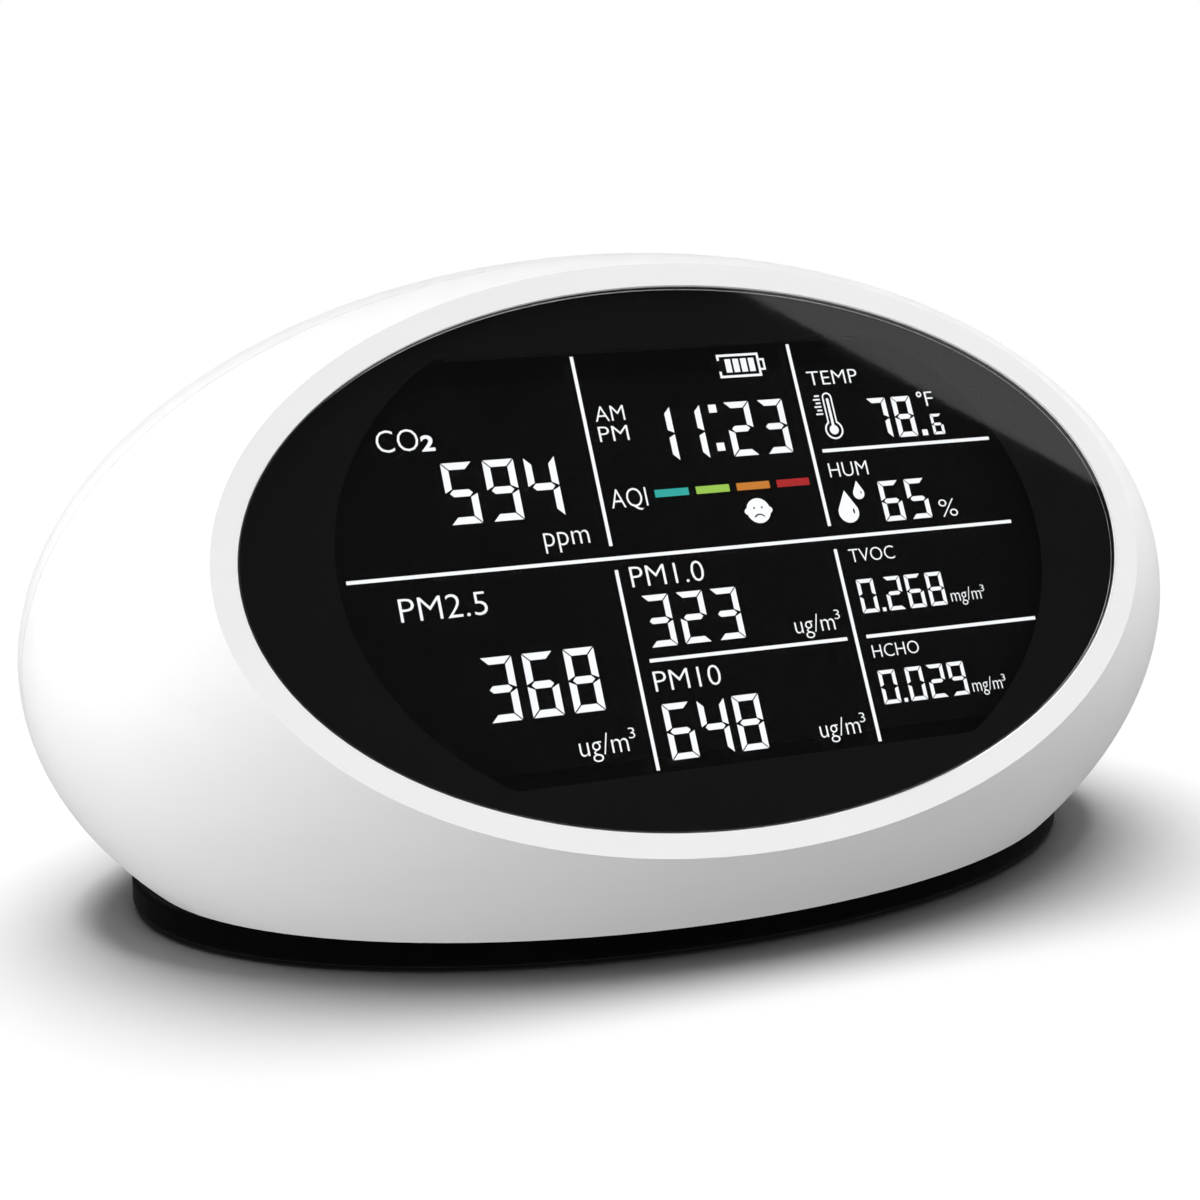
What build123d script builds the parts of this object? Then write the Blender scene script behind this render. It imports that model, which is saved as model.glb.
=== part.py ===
"""Desktop air quality monitor: an ellipsoidal two-part housing on a black foot.

Millimetres, +Z up, the display faces -Y. The origin is on the surface that the
monitor stands on, under the centre of the ellipsoid.
"""

from build123d import *
from math import cos, radians, sin
import os

# ---------------------------------------------------------------- driving sizes

# Housing: an ellipsoid of revolution about X, cut by the display face and the foot.
half_length = 90.0
body_radius = 55.25
wall = 2.4
floor_cut = 32.05          # from the ellipsoid's centre down to its flat underside
face_tilt = 30.0           # the display leans back by this angle, in degrees
face_distance = 34.4       # from the ellipsoid's centre to the display face
seam_front = -0.05         # where the front shell ends; the rear one starts at seam_rear
seam_rear = 0.1
tongue = 1.5               # depth of the tongue that closes the seam
tongue_inset = 1.3         # from the housing's surface to the tongue
tongue_thickness = 0.8

# Foot.
foot_height = 5.2
foot_half_width = 75.2
foot_half_depth = 44.4
foot_shift = 1.9           # the foot sits a little behind the housing's centre
pad_proud = 0.6            # the rubber pad stands this far below the base plate
plate_top = 2.6            # inner floor of the base plate

# Display stack, as depths behind the display face.
lens_half_width = 66.8
lens_half_height = 39.8
lens_thickness = 2.0
lens_gap = 0.1
tape_thickness = 0.3
ledge_width = 3.0
rim_depth = 4.3
lcd_front = 4.5
lcd_thickness = 2.2
backlight_thickness = 3.0
frame_back = 11.2
board_front = 12.2
board_thickness = 1.6

# LCD outline: a rectangle with cut corners.
lcd_half_width = 56.0
lcd_half_height = 31.8
lcd_side_height = 20.0
lcd_top_width = 40.0
strip_height = 28.6        # the contact strips run along the LCD's two long edges

# Push buttons, on a flat pocket in the upper rear.
button_tilt = 35.0
pocket_distance = 51.3     # from the ellipsoid's centre to the pocket's floor
pocket_wall = 2.4
button_pitch = 14.0
button_radius = 4.0
button_clearance = 0.15
button_proud = 1.1

# Rear panel: air slots and the power socket.
slot_width = 1.8
slot_pitch = 4.0
vent_centre = 29.0         # to each side of the middle
vent_half_width = 18.5
vent_half_height = 14.0
vent_drop = 2.0            # the vents sit this far below the centre height
socket_drop = 24.0         # the power socket is this far below the centre height
socket_recess_y = 47.0

# Screws.
screw_radius = 1.25        # shank of the housing screws
small_screw = 0.95         # shank of the board screws
screw_play = 0.05          # between a shank and its pilot hole

# ---------------------------------------------------------------- derived places

centre_height = foot_height + floor_cut
body_centre = Vector(0, 0, centre_height)
face_normal = Vector(0, -cos(radians(face_tilt)), sin(radians(face_tilt)))
button_normal = Vector(0, cos(radians(button_tilt)), sin(radians(button_tilt)))

face = Plane(origin=body_centre + face_normal * face_distance, x_dir=(1, 0, 0), z_dir=face_normal)
pocket = Plane(
    origin=body_centre + button_normal * pocket_distance, x_dir=(-1, 0, 0), z_dir=button_normal
)
seam = Plane(origin=body_centre, x_dir=(-1, 0, 0), z_dir=(0, 1, 0))    # faces the rear
section = Plane(origin=body_centre, x_dir=(1, 0, 0), z_dir=(0, -1, 0))
ground = Plane.XY

lcd_back = lcd_front + lcd_thickness
backlight_back = lcd_back + backlight_thickness
board_back = board_front + board_thickness
shell_posts = [(x, z) for x in (-74, 74) for z in (-13, 13)]
base_posts = [(x, y) for x in (-65, 65) for y in (-12, 16)]
frame_ears = [(x, y) for x in (-64.5, 64.5) for y in (-9, 9)]
board_posts = [(x, y) for x in (-44, 44) for y in (-20, 20)]
button_places = [button_pitch * step for step in (-1.5, -0.5, 0.5, 1.5)]

# ---------------------------------------------------------------- shared shapes


def ellipsoid(shrink=0.0, mode=Mode.ADD):
    """The housing's ellipsoid, smaller all round by shrink."""
    with BuildSketch(section) as profile:
        with BuildLine():
            EllipticalCenterArc(
                (0, 0), half_length - shrink, body_radius - shrink, start_angle=180, arc_size=180
            )
            Line((half_length - shrink, 0), (shrink - half_length, 0))
        make_face()
    revolve(profile.sketch, axis=Axis(body_centre, (1, 0, 0)), mode=mode)


def cylinder_on(plane, places, radius, height, mode=Mode.ADD):
    """Round posts or holes that stand on a plane at the given places."""
    with BuildSketch(plane) as outline:
        with Locations(*places):
            Circle(radius)
    extrude(outline.sketch, amount=height, mode=mode)


def block_on(plane, places, width, depth, height, corner=0.0, mode=Mode.ADD):
    """Rectangular blocks or pockets that stand on a plane at the given places."""
    with BuildSketch(plane) as outline:
        with Locations(*places):
            if corner:
                RectangleRounded(width, depth, corner)
            else:
                Rectangle(width, depth)
    extrude(outline.sketch, amount=height, mode=mode)


def oval_on(plane, half_width, half_depth, height, mode=Mode.ADD, shift=0.0):
    """An elliptical plate or opening that stands on a plane."""
    with BuildSketch(plane) as outline:
        with Locations((0, shift)):
            Ellipse(half_width, half_depth)
    extrude(outline.sketch, amount=height, mode=mode)


def screws_on(plane, places, shank_radius, shank_length):
    """Pan-head screws: heads on top of the plane, shanks below it, a cross in each head."""
    head_radius = 2 * shank_radius
    head_height = 1.35 * shank_radius
    slot_depth = 0.55 * head_height
    cylinder_on(plane, places, head_radius, head_height)
    cylinder_on(plane, places, shank_radius, -shank_length)
    for turn in (0, 90):
        with BuildSketch(plane.offset(head_height - slot_depth)) as cross:
            with Locations(*places):
                Rectangle(1.3 * head_radius, 0.28 * head_radius, rotation=turn)
        extrude(cross.sketch, amount=slot_depth, mode=Mode.SUBTRACT)


def lcd_outline(grow=0.0, half_height=lcd_half_height):
    """The LCD's rectangle with cut corners, larger all round by grow."""
    side = lcd_half_width + grow
    top = half_height + grow
    corner_x = lcd_top_width + 0.5 * grow
    corner_y = min(lcd_side_height + 0.5 * grow, top)
    with BuildLine() as outline:
        Polyline(
            (side, corner_y), (corner_x, top), (-corner_x, top), (-side, corner_y),
            (-side, -corner_y), (-corner_x, -top), (corner_x, -top), (side, -corner_y),
            close=True,
        )
    make_face(outline.edges())


def ribbon(x, width, points, bend, thickness=0.7):
    """A flat cable of a given width that follows points in a plane normal to X."""
    with BuildSketch(Plane.YZ.offset(x)) as strip:
        with BuildLine():
            FilletPolyline(*points, radius=bend)
        trace(line_width=thickness)
    extrude(strip.sketch, amount=width / 2, both=True)


def face_point(depth, up):
    """(y, z) of a point in the middle plane, a depth behind the face and up along it."""
    point = face.offset(-depth).from_local_coords((0, up, 0))
    return (point.Y, point.Z)


# ---------------------------------------------------------------- housing

front_post_places = [(-x, z) for x, z in shell_posts]
front_base_posts = [p for p in base_posts if p[1] < 0]
rear_base_posts = [p for p in base_posts if p[1] > 0]

with BuildPart() as front_cavity:
    ellipsoid(wall)
    split(bisect_by=face.offset(-rim_depth), keep=Keep.BOTTOM)
    split(bisect_by=seam.offset(seam_front), keep=Keep.BOTTOM)
    # The rebate that takes the rear shell's tongue.
    rebate_inset = tongue_inset - 0.1
    oval_on(
        seam.offset(-tongue - 0.1), half_length - rebate_inset, body_radius - rebate_inset, tongue + 1
    )
    # Posts that are left standing in the cavity, for the housing and the foot screws.
    cylinder_on(seam.offset(1), front_post_places, 3.5, -half_length / 2, Mode.SUBTRACT)
    cylinder_on(ground, front_base_posts, 3.6, foot_height + 10, Mode.SUBTRACT)

with BuildPart() as front_shell:
    ellipsoid()
    split(bisect_by=ground.offset(foot_height), keep=Keep.TOP)
    split(bisect_by=seam.offset(seam_front), keep=Keep.BOTTOM)
    split(bisect_by=face, keep=Keep.BOTTOM)
    add(front_cavity.part, mode=Mode.SUBTRACT)
    # Lens recess, then the window through the ledge that the lens is taped to.
    oval_on(face, lens_half_width, lens_half_height, -lens_thickness - tape_thickness, Mode.SUBTRACT)
    oval_on(
        face, lens_half_width - ledge_width, lens_half_height - ledge_width, -2 * rim_depth, Mode.SUBTRACT
    )
    # Posts for the display frame, on the back of the ledge.
    cylinder_on(face.offset(-rim_depth + 0.5), frame_ears, 2.6, -5.1)
    cylinder_on(
        face.offset(-rim_depth - 4.6), frame_ears, small_screw + screw_play, 3.8, Mode.SUBTRACT
    )
    # Pilot holes for the housing screws, behind and underneath.
    cylinder_on(seam, front_post_places, screw_radius + screw_play, -10, Mode.SUBTRACT)
    cylinder_on(
        ground.offset(foot_height), front_base_posts, screw_radius + screw_play, 9, Mode.SUBTRACT
    )

with BuildPart() as rear_cavity:
    ellipsoid(wall)
    split(bisect_by=seam.offset(seam_rear), keep=Keep.TOP)
    cavity_inset = tongue_inset + tongue_thickness
    oval_on(
        seam.offset(-tongue - 1), half_length - cavity_inset, body_radius - cavity_inset, tongue + 1.5
    )
    cylinder_on(seam.offset(seam_rear), front_post_places, 4.4, half_length, Mode.SUBTRACT)
    cylinder_on(ground, rear_base_posts, 3.6, foot_height + 10, Mode.SUBTRACT)
    # Thick pads are left behind the button pocket and around the power socket.
    with BuildSketch(pocket.offset(-pocket_wall)):
        SlotOverall(68, 20)
    extrude(amount=6, mode=Mode.SUBTRACT)
    block_on(
        seam.offset(socket_recess_y - 2.6), [(0, -socket_drop)], 19, 9.6, 8, corner=3,
        mode=Mode.SUBTRACT,
    )

with BuildPart() as rear_shell:
    ellipsoid()
    split(bisect_by=seam.offset(seam_rear), keep=Keep.TOP)
    oval_on(
        seam.offset(-tongue), half_length - tongue_inset, body_radius - tongue_inset, tongue + 1
    )
    split(bisect_by=ground.offset(foot_height), keep=Keep.TOP)
    add(rear_cavity.part, mode=Mode.SUBTRACT)
    # Deep screw wells from the rear, with the clearance hole at their foot.
    cylinder_on(seam.offset(6), front_post_places, 2.8, half_length, Mode.SUBTRACT)
    cylinder_on(seam, front_post_places, 1.5, 7, Mode.SUBTRACT)
    cylinder_on(
        ground.offset(foot_height), rear_base_posts, screw_radius + screw_play, 9, Mode.SUBTRACT
    )
    # Button pocket, four button holes and two posts for the button board.
    with BuildSketch(pocket):
        SlotOverall(60, 13.5)
    extrude(amount=10, mode=Mode.SUBTRACT)
    cylinder_on(
        pocket.offset(1), [(x, 0) for x in button_places], button_radius + button_clearance, -6,
        Mode.SUBTRACT,
    )
    cylinder_on(pocket.offset(-pocket_wall + 0.2), [(-28.5, 0), (28.5, 0)], 2.2, -6)
    cylinder_on(
        pocket.offset(-pocket_wall - 5.8), [(-28.5, 0), (28.5, 0)], small_screw + screw_play, 5,
        Mode.SUBTRACT,
    )
    # Power socket: a finger recess and the socket's own slot.
    with BuildSketch(seam.offset(socket_recess_y)):
        with Locations((0, -socket_drop)):
            SlotOverall(14, 7.5)
    extrude(amount=20, mode=Mode.SUBTRACT)
    with BuildSketch(seam.offset(socket_recess_y - 6)):
        with Locations((0, -socket_drop)):
            SlotOverall(9.3, 3.5)
    extrude(amount=10, mode=Mode.SUBTRACT)
    # Two fields of upright air slots, each bounded by an oval.
    with BuildSketch(seam.offset(body_radius / 2)):
        for side in (-1, 1):
            for step in range(-4, 5):
                across = step * slot_pitch
                reach = vent_half_height * (1 - (across / vent_half_width) ** 2) ** 0.5
                with Locations((side * vent_centre + across, -vent_drop)):
                    SlotOverall(2 * reach, slot_width, rotation=90)
    extrude(amount=body_radius, mode=Mode.SUBTRACT)

with BuildPart() as vent_mesh:
    ellipsoid(wall + 0.15)
    ellipsoid(wall + 0.55, mode=Mode.SUBTRACT)
    with BuildSketch(seam.offset(20)):
        with Locations((-vent_centre, -vent_drop), (vent_centre, -vent_drop)):
            RectangleRounded(2 * vent_half_width + 2, 2 * vent_half_height + 4, 6)
    extrude(amount=body_radius, mode=Mode.INTERSECT)

with BuildPart() as shell_screws:
    screws_on(seam.offset(6), front_post_places, screw_radius, 15)

# ---------------------------------------------------------------- foot

with BuildPart() as base_plate:
    oval_on(
        ground.offset(pad_proud), foot_half_width, foot_half_depth, foot_height - pad_proud,
        shift=foot_shift,
    )
    fillet(base_plate.edges().group_by(Axis.Z)[0], 1.0)
    fillet(base_plate.faces().sort_by(Axis.Z)[-1].edges(), 0.5)
    # A ring that drops inside the shells, cleared for their four posts.
    oval_on(ground.offset(foot_height - 1), 69.2, 41.6, 3.4)
    cylinder_on(ground.offset(foot_height), base_posts, 4.1, 4, Mode.SUBTRACT)
    oval_on(ground.offset(plate_top), 67.4, 39.8, 10, Mode.SUBTRACT)
    # Solid bosses for the housing screws, the sensor chassis and the charging board.
    cylinder_on(ground.offset(pad_proud), base_posts, 4.6, foot_height - pad_proud)
    chassis_bosses = [(x, y) for x in (-38, 38) for y in (15, 26)]
    cylinder_on(ground.offset(pad_proud + 0.4), chassis_bosses, 3.2, foot_height - pad_proud - 0.4)
    charger_bosses = [(-10, 35.4), (10, 35.4)]
    charger_height = centre_height - socket_drop - 1.6 - 1.2
    cylinder_on(ground.offset(plate_top - 1), charger_bosses, 2.4, charger_height - plate_top + 1)
    # Screw wells underneath, pilot holes on top and the shallow seat of the rubber pad.
    cylinder_on(ground, base_posts, 2.8, 2.7, Mode.SUBTRACT)
    cylinder_on(ground, base_posts, 1.5, 10, Mode.SUBTRACT)
    cylinder_on(
        ground.offset(foot_height), chassis_bosses, small_screw + screw_play, -3.6, Mode.SUBTRACT
    )
    cylinder_on(
        ground.offset(charger_height), charger_bosses, small_screw + screw_play, -6, Mode.SUBTRACT
    )
    oval_on(ground, 54.2, 30.2, 1.2, Mode.SUBTRACT)

with BuildPart() as foot_pad:
    oval_on(ground, 54.0, 30.0, 1.2)
    fillet(foot_pad.edges().group_by(Axis.Z)[0], 0.3)

with BuildPart() as base_screws:
    screws_on(
        Plane(origin=(0, 0, 2.7), x_dir=(1, 0, 0), z_dir=(0, 0, -1)),
        [(x, -y) for x, y in base_posts], screw_radius, 10.5,
    )

# ---------------------------------------------------------------- display

with BuildPart() as display_lens:
    oval_on(face, lens_half_width - lens_gap, lens_half_height - lens_gap, -lens_thickness)
    chamfer(display_lens.faces().sort_by(Axis((0, 0, 0), face_normal))[-1].edges(), 0.25)

with BuildPart() as lens_tape:
    oval_on(face.offset(-lens_thickness), lens_half_width - 0.3, lens_half_height - 0.3, -tape_thickness)
    oval_on(
        face.offset(-lens_thickness), lens_half_width - ledge_width + 0.2,
        lens_half_height - ledge_width + 0.2, -tape_thickness, Mode.SUBTRACT,
    )

with BuildPart() as lcd_panel:
    # Two glass plates; the rear one is longer, to carry the contacts.
    with BuildSketch(face.offset(-lcd_front)):
        lcd_outline(-0.2, half_height=lcd_half_height - 4.0)
    extrude(amount=-lcd_thickness / 2)
    with BuildSketch(face.offset(-lcd_front - lcd_thickness / 2)):
        lcd_outline()
    extrude(amount=-lcd_thickness / 2)

with BuildPart() as lcd_backlight:
    with BuildSketch(face.offset(-lcd_back)):
        lcd_outline(-0.6, half_height=26.4)
    extrude(amount=-backlight_thickness)

with BuildPart() as lcd_frame:
    with BuildSketch(face.offset(-lcd_front + 0.1)):
        lcd_outline(1.8)
    extrude(amount=-(frame_back - lcd_front + 0.1))
    for x, y in frame_ears:
        side = 1 if x > 0 else -1
        block_on(face.offset(-rim_depth - 4.6), [(x - side * 3, y)], 10.4, 7, -2.3, corner=2.2)
    with BuildSketch(face.offset(-lcd_front + 0.1)):
        lcd_outline(0.15)
    extrude(amount=-(backlight_back - lcd_front + 0.2), mode=Mode.SUBTRACT)
    block_on(
        face.offset(-backlight_back), [(0, -strip_height), (0, strip_height)], 80.6, 3, -5,
        mode=Mode.SUBTRACT,
    )
    cylinder_on(face.offset(-frame_back), board_posts, 2.6, frame_back - board_front)
    cylinder_on(face.offset(-board_front), board_posts, small_screw + screw_play, 5, Mode.SUBTRACT)
    cylinder_on(face.offset(-frame_back), frame_ears, 1.1, 5, Mode.SUBTRACT)

with BuildPart() as lcd_contact_strips:
    block_on(
        face.offset(-lcd_back), [(0, -strip_height), (0, strip_height)], 80, 2.4,
        lcd_back - board_front,
    )

behind_frame = Plane(
    origin=face.offset(-frame_back).origin, x_dir=(-1, 0, 0), z_dir=face_normal * -1
)
behind_board = behind_frame.offset(board_back - frame_back)

with BuildPart() as lcd_frame_screws:
    screws_on(behind_frame, frame_ears, small_screw, 5.6)

# ---------------------------------------------------------------- main board

with BuildPart() as main_board:
    block_on(face.offset(-board_front), [(0, 0)], 104, 62, -board_thickness, corner=3)
    cylinder_on(face.offset(-board_front), board_posts, 1.1, -board_thickness, Mode.SUBTRACT)

with BuildPart() as main_board_screws:
    screws_on(behind_board, board_posts, small_screw, 3.6)

with BuildPart() as board_chips:
    # Processor, memory, display driver, two regulators and a row of capacitors.
    block_on(behind_board, [(0, 2)], 12, 12, 1.4)
    block_on(behind_board, [(-18, 0), (18, -4)], 6, 8, 1.2)
    block_on(behind_board, [(-32, 8), (32, 6)], 5, 5, 1.5)
    cylinder_on(behind_board, [(12, -17), (19, -17), (26, -17)], 2.5, 4.0)

with BuildPart() as buzzer:
    cylinder_on(behind_board, [(36, -9)], 6, 4.5)
    cylinder_on(behind_board.offset(2), [(36, -9)], 1.2, 5, Mode.SUBTRACT)

# Cable sockets on the back of the main board: three near the top, two near the bottom.
ribbon_places = [-20, 0, 34]
lead_places = [0, 24.3]
socket_up = 14.0
socket_down = -18.0

with BuildPart() as board_sockets:
    block_on(behind_board, [(-x, socket_up) for x in ribbon_places], 11, 5, 4)
    block_on(behind_board, [(-x, socket_down) for x in lead_places], 8, 5, 4)

# ---------------------------------------------------------------- sensor chassis

chassis_y = 10.0
chassis_thickness = 2.0
chassis_half_width = 58.0
chassis_top = 20.0         # above the centre height
flange_thickness = 2.0
rear_of_chassis = seam.offset(chassis_y + chassis_thickness)
gas_board_gap = 4.0
gas_board_posts = [(-x, z) for x in (10, 54) for z in (-17, 17)]

with BuildPart() as sensor_chassis:
    chassis_bottom = foot_height - centre_height
    upright = chassis_top - chassis_bottom
    block_on(
        seam.offset(chassis_y), [(0, chassis_bottom + upright / 2)], 2 * chassis_half_width, upright,
        chassis_thickness, corner=4,
    )
    # The corners at the foot are squared again by the flange that is screwed to the base.
    block_on(ground.offset(foot_height), [(0, 19)], 84, 22, flange_thickness, corner=4)
    for x in (-41, 41):
        block_on(seam.offset(chassis_y + 1), [(x, chassis_bottom + 4.5)], 2, 9, 12)
    # Cable windows and pillars for the gas sensor board.
    block_on(seam.offset(chassis_y - 1), [(0, -21)], 13, 15, 6, corner=2, mode=Mode.SUBTRACT)
    block_on(seam.offset(chassis_y - 1), [(-32, 0), (30, 6)], 26, 12, 6, corner=4, mode=Mode.SUBTRACT)
    cylinder_on(rear_of_chassis, gas_board_posts, 2.5, gas_board_gap)
    cylinder_on(
        rear_of_chassis.offset(gas_board_gap), gas_board_posts, small_screw + screw_play, -4.5,
        Mode.SUBTRACT,
    )
    cylinder_on(ground.offset(foot_height - 1), chassis_bosses, 1.15, 5, Mode.SUBTRACT)

with BuildPart() as chassis_screws:
    screws_on(ground.offset(foot_height + flange_thickness), chassis_bosses, small_screw, 5)

# ---------------------------------------------------------------- particle sensor

pm_x = -29.0               # centre of the sensor
pm_z = -2.0                # below the centre height
pm_width = 50.0
pm_height = 38.0
pm_front = chassis_y + chassis_thickness + 0.2
pm_depth = 18.0
pm_cover = 2.0
pm_wall = 1.5
fan_x = 11.0               # from the sensor's centre, towards the left end
fan_z = -4.0
fan_radius = 8.5
fan_height = 7.0
fan_bottom = pm_front + pm_wall + 2.4
axle_radius = 1.0

pm_place = (-pm_x, pm_z)
fan_place = (-pm_x + fan_x, pm_z + fan_z)

with BuildPart() as pm_sensor_case:
    block_on(seam.offset(pm_front), [pm_place], pm_width, pm_height, pm_depth, corner=2)
    block_on(
        seam.offset(pm_front + pm_wall), [pm_place], pm_width - 2 * pm_wall, pm_height - 2 * pm_wall,
        pm_depth, corner=1, mode=Mode.SUBTRACT,
    )
    # Fan chamber wall, open towards the laser, and the seat of the fan's axle.
    with BuildSketch(seam.offset(pm_front + pm_wall - 0.5)):
        with Locations(fan_place):
            Circle(fan_radius + 2.2)
            Circle(fan_radius + 0.8, mode=Mode.SUBTRACT)
            with Locations((-fan_radius - 1.5, 0)):
                Rectangle(6, 9, mode=Mode.SUBTRACT)
    extrude(amount=pm_depth - pm_wall)
    cylinder_on(seam.offset(pm_front + pm_wall - 0.5), [fan_place], 2.6, 2.0)
    cylinder_on(seam.offset(pm_front + 0.8), [fan_place], axle_radius, 4, Mode.SUBTRACT)
    # Cradle of the laser.
    block_on(seam.offset(pm_front + pm_wall - 0.5), [(-pm_x - 12, pm_z + 9)], 12, 9, 5)
    with BuildSketch(Plane.YZ.offset(pm_x + 5)):
        with Locations((pm_front + 9, centre_height + pm_z + 9)):
            Circle(3.4)
    extrude(amount=15, mode=Mode.SUBTRACT)

with BuildPart() as pm_sensor_cover:
    block_on(seam.offset(pm_front + pm_depth), [pm_place], pm_width, pm_height, pm_cover, corner=2)
    # The fan's outlet, crossed by a guard, and the row of inlet slots.
    with BuildSketch(seam.offset(pm_front + pm_depth)):
        with Locations(fan_place):
            Circle(fan_radius - 0.5)
            Rectangle(2 * fan_radius, 1.2, mode=Mode.SUBTRACT)
            Rectangle(1.2, 2 * fan_radius, mode=Mode.SUBTRACT)
        with GridLocations(0, 3.2, 1, 4):
            with Locations((-pm_x - 12, pm_z)):
                SlotOverall(16, 1.6)
    extrude(amount=pm_cover, mode=Mode.SUBTRACT)

with BuildPart() as pm_fan_axle:
    cylinder_on(seam.offset(pm_front + 0.9), [fan_place], axle_radius - 0.02, 13.5)

with BuildPart() as pm_fan_rotor:
    cylinder_on(seam.offset(fan_bottom), [fan_place], 4.2, fan_height)
    cylinder_on(seam.offset(fan_bottom), [fan_place], fan_radius, 0.8)
    # Curved blades, evenly spaced round the hub.
    with BuildSketch(seam.offset(fan_bottom)):
        with Locations(fan_place):
            with PolarLocations(6.2, 11):
                Rectangle(4.6, 0.8, rotation=28)
    extrude(amount=fan_height - 0.5)
    with BuildSketch(seam.offset(fan_bottom - 1)):
        with Locations(fan_place):
            Circle(axle_radius + 0.04)
    extrude(amount=fan_height + 2, mode=Mode.SUBTRACT)

with BuildPart() as pm_laser:
    with BuildSketch(Plane.YZ.offset(pm_x + 6.5)):
        with Locations((pm_front + 9, centre_height + pm_z + 9)):
            Circle(3.3)
    extrude(amount=11)
    with BuildSketch(Plane.YZ.offset(pm_x + 5.2)):
        with Locations((pm_front + 9, centre_height + pm_z + 9)):
            Circle(2.0)
    extrude(amount=1.3)

with BuildPart() as pm_duct:
    # A foam tunnel from the particle sensor to the left air slots, shaped to the rear wall.
    ellipsoid(wall + 0.75)
    with BuildSketch(seam.offset(pm_front + pm_depth + pm_cover)):
        with Locations(pm_place):
            RectangleRounded(46, 34, 4)
            RectangleRounded(39, 27, 3, mode=Mode.SUBTRACT)
    extrude(amount=body_radius, mode=Mode.INTERSECT)

# ---------------------------------------------------------------- gas and climate sensors

gas_rear = rear_of_chassis.offset(gas_board_gap + board_thickness)

with BuildPart() as gas_board:
    block_on(rear_of_chassis.offset(gas_board_gap), [(-32, 0)], 52, 40, board_thickness, corner=2)
    cylinder_on(
        rear_of_chassis.offset(gas_board_gap), gas_board_posts, 1.1, board_thickness, Mode.SUBTRACT
    )

with BuildPart() as gas_board_screws:
    screws_on(gas_rear, gas_board_posts, small_screw, 5.6)

with BuildPart() as co2_sensor:
    block_on(gas_rear, [(-30, 9.5)], 33, 12, 8.5, corner=2)
    fillet(co2_sensor.faces().sort_by(Axis.Y)[-1].edges(), 0.8)
    block_on(gas_rear.offset(8.0), [(-30, 9.5)], 20, 7, 1, corner=2, mode=Mode.SUBTRACT)

with BuildPart() as co2_filter:
    block_on(gas_rear.offset(8.0), [(-30, 9.5)], 19.8, 6.8, 0.4, corner=1.9)

with BuildPart() as formaldehyde_cell:
    cylinder_on(gas_rear, [(-20, -8)], 7.5, 13)
    fillet(formaldehyde_cell.faces().sort_by(Axis.Y)[-1].edges(), 0.6)
    with BuildSketch(gas_rear.offset(12)):
        with Locations((-20, -8)):
            with PolarLocations(3.4, 6):
                Circle(0.8)
    extrude(amount=2, mode=Mode.SUBTRACT)

with BuildPart() as voc_sensor:
    cylinder_on(gas_rear, [(-38, -8)], 4.9, 1.0)
    cylinder_on(gas_rear, [(-38, -8)], 4.2, 6.0)
    cylinder_on(gas_rear.offset(5.2), [(-38, -8)], 2.8, 2, Mode.SUBTRACT)

with BuildPart() as gas_socket:
    block_on(gas_rear, [(-34, 18)], 9.5, 3.4, 3.4)

with BuildPart() as climate_board:
    block_on(Plane.YZ.offset(48), [(25.8, centre_height - 8)], 16.4, 11, 1.0)

with BuildPart() as climate_sensor:
    block_on(Plane.YZ.offset(49), [(30.5, centre_height - 8)], 3.2, 3.2, 1.2)

# ---------------------------------------------------------------- buttons

board_below_pocket = pocket_wall + 5.8
switch_height = 3.3
plunger_radius = 1.5
flange_radius = 5.0


def button(x):
    """A round button: domed cap, retaining flange and the stem under it."""
    top = pocket.offset(button_proud)
    cylinder_on(top, [(x, 0)], button_radius, -button_proud - pocket_wall - 0.5)
    crown = [f for f in faces() if f.normal_at().dot(button_normal) > 0.99]
    fillet(crown[0].edges(), 0.5)
    cylinder_on(pocket.offset(-pocket_wall - 0.1), [(x, 0)], flange_radius, -0.8)
    cylinder_on(pocket.offset(-pocket_wall - 0.9), [(x, 0)], 1.6, -0.8)


def plunger(x):
    """The switch's own plunger, from the button's stem down into the switch."""
    cylinder_on(pocket.offset(-pocket_wall - 1.7), [(x, 0)], plunger_radius, -2.0)


with BuildPart() as power_button:
    button(button_places[3])

with BuildPart() as set_button:
    button(button_places[2])

with BuildPart() as up_button:
    button(button_places[1])

with BuildPart() as down_button:
    button(button_places[0])

with BuildPart() as power_plunger:
    plunger(button_places[3])

with BuildPart() as set_plunger:
    plunger(button_places[2])

with BuildPart() as up_plunger:
    plunger(button_places[1])

with BuildPart() as down_plunger:
    plunger(button_places[0])

with BuildPart() as button_switches:
    for x in button_places:
        block_on(pocket.offset(-board_below_pocket), [(x, 0)], 6, 6, switch_height)
        cylinder_on(
            pocket.offset(-board_below_pocket + 1.1), [(x, 0)], plunger_radius + 0.15, 5, Mode.SUBTRACT
        )

under_button_board = Plane(
    origin=pocket.offset(-board_below_pocket - board_thickness).origin,
    x_dir=(1, 0, 0), z_dir=button_normal * -1,
)

with BuildPart() as button_board:
    block_on(pocket.offset(-board_below_pocket), [(0, 0)], 63, 12, -board_thickness, corner=2)
    cylinder_on(
        pocket.offset(-board_below_pocket), [(-28.5, 0), (28.5, 0)], 1.1, -board_thickness, Mode.SUBTRACT
    )

with BuildPart() as button_board_screws:
    screws_on(under_button_board, [(-28.5, 0), (28.5, 0)], small_screw, 6)

with BuildPart() as button_socket:
    block_on(under_button_board, [(0, 3.2)], 8.5, 4, 3)

# ---------------------------------------------------------------- power

with BuildPart() as charging_board:
    block_on(ground.offset(charger_height), [(0, 36.9)], 28, 14, 1.2, corner=1.5)
    cylinder_on(ground.offset(charger_height), charger_bosses, 1.1, 2, Mode.SUBTRACT)

with BuildPart() as charging_board_screws:
    screws_on(ground.offset(charger_height + 1.2), charger_bosses, small_screw, 6)

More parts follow.
